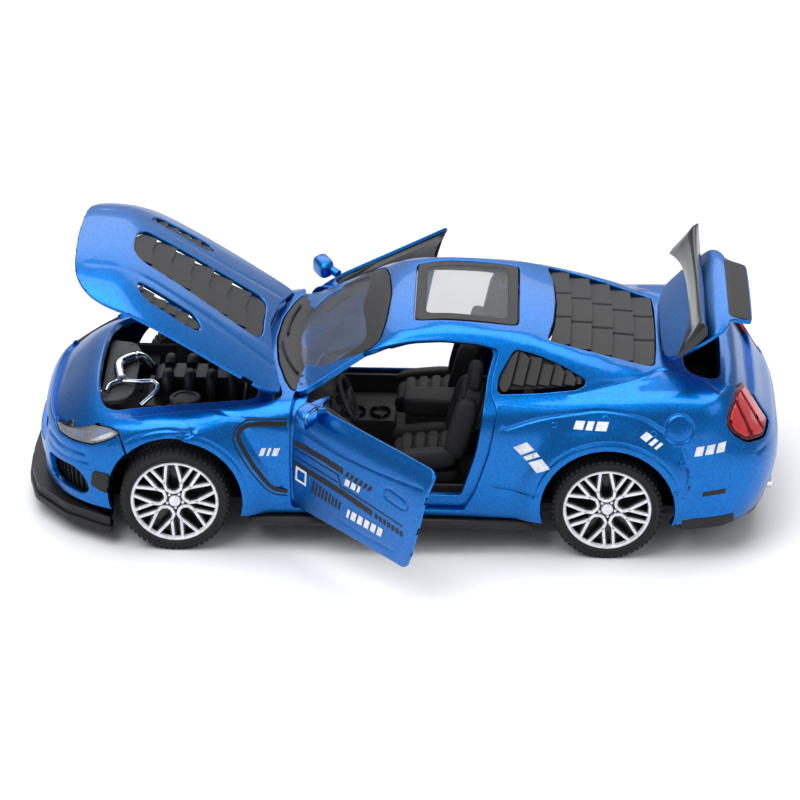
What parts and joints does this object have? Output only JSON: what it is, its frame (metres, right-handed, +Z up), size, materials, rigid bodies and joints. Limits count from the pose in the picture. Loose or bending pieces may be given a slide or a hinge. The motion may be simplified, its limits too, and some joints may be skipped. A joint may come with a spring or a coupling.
{
  "type": "diecast collector car",
  "caption": "Die-cast display car on rolling axles, with a bonnet, doors and boot lid that swing open on hinges.",
  "frame": {"origin": "centre of the whole open car's box, on the ground that the tyres stand on", "axes": "+X towards the tail, +Y towards the car's right side, +Z up"},
  "size_m": [0.1512, 0.1138, 0.0546],
  "materials": {
    "body_paint": "metallic blue with fine flake, gloss clear coat",
    "blue_plastic": "metallic blue, gloss",
    "black_trim": "black, satin",
    "black_plastic": "black, moulded",
    "cabin_plastic": "black, soft sheen",
    "smoked_clear": "clear plastic, lightly smoked",
    "lamp_clear": "clear plastic, gloss",
    "lamp_red": "red, translucent, gloss",
    "bright_plating": "bright",
    "steel": "plain",
    "wheel_finish": "black with printed white spoke edges",
    "tyre_rubber": "matt rubber",
    "brass": "machined"
  },
  "bodies": {
    "car_body": {"body_shell": "body_paint", "bumper_duct_left": "black_trim", "bumper_duct_right": "black_trim", "cabin_tub": "cabin_plastic", "chassis_pan": "black_plastic", "chassis_screw_1": "steel", "chassis_screw_2": "steel", "chassis_screw_3": "steel", "chassis_screw_4": "steel", "dashboard": "cabin_plastic", "engine": "black_plastic", "engine_bay_tray": "black_plastic", "exhaust": "bright_plating", "front_bumper": "blue_plastic", "front_grille": "black_trim", "front_splitter": "black_trim", "headlight_left": "lamp_clear", "headlight_right": "lamp_clear", "intake_pipe": "bright_plating", "pullback_motor_case": "black_plastic", "quarter_louvre_left": "black_trim", "quarter_louvre_right": "black_trim", "radiator_cover": "black_plastic", "rear_bumper": "blue_plastic", "rear_diffuser": "black_trim", "rear_louvre": "black_trim", "seat_left": "cabin_plastic", "seat_right": "cabin_plastic", "side_skirt_left": "black_trim", "side_skirt_right": "black_trim", "steering_wheel": "cabin_plastic", "sunroof": "smoked_clear", "tail_light_left": "lamp_red", "tail_light_right": "lamp_red", "trunk_tub": "black_plastic", "windscreen": "smoked_clear"},
    "front_axle_set": {"front_axle": "steel", "front_wheel_left": "wheel_finish", "front_wheel_right": "wheel_finish", "front_tyre_left": "tyre_rubber", "front_tyre_right": "tyre_rubber"},
    "rear_axle_set": {"rear_axle": "steel", "rear_wheel_left": "wheel_finish", "rear_wheel_right": "wheel_finish", "rear_tyre_left": "tyre_rubber", "rear_tyre_right": "tyre_rubber", "drive_gear": "brass"},
    "bonnet": {"hood_panel": "body_paint", "hood_centre_vent": "black_trim", "hood_side_vent_left": "black_trim", "hood_side_vent_right": "black_trim"},
    "door_left": {"door_skin_left": "body_paint", "door_card_left": "cabin_plastic", "door_mirror_left": "blue_plastic"},
    "door_right": {"door_skin_right": "body_paint", "door_card_right": "cabin_plastic", "door_mirror_right": "blue_plastic"},
    "boot_lid": {"trunk_lid": "body_paint", "lid_rear_panel": "black_trim", "rear_wing": "black_trim"}
  },
  "joints": [
    {"name": "front_axle_spin", "type": "hinge", "parent": "car_body", "child": "front_axle_set", "pos_m": [-0.044, 0, 0.0108], "axis": [0, 1, 0], "continuous": true},
    {"name": "rear_axle_spin", "type": "hinge", "parent": "car_body", "child": "rear_axle_set", "pos_m": [0.041, 0, 0.0108], "axis": [0, 1, 0], "continuous": true},
    {"name": "bonnet_hinge", "type": "hinge", "parent": "car_body", "child": "bonnet", "pos_m": [-0.0225, 0, 0.031], "axis": [0, 1, 0], "range_deg": [-39, 4]},
    {"name": "door_left_hinge", "type": "hinge", "parent": "car_body", "child": "door_left", "pos_m": [-0.0204, -0.0289, 0.02], "axis": [0, 0, -1], "range_deg": [-47, 8]},
    {"name": "door_right_hinge", "type": "hinge", "parent": "car_body", "child": "door_right", "pos_m": [-0.0204, 0.0289, 0.02], "axis": [0, 0, 1], "range_deg": [-47, 8]},
    {"name": "boot_lid_hinge", "type": "hinge", "parent": "car_body", "child": "boot_lid", "pos_m": [0.0497, 0, 0.0352], "axis": [0, -1, 0], "range_deg": [-43, 4]}
  ]
}
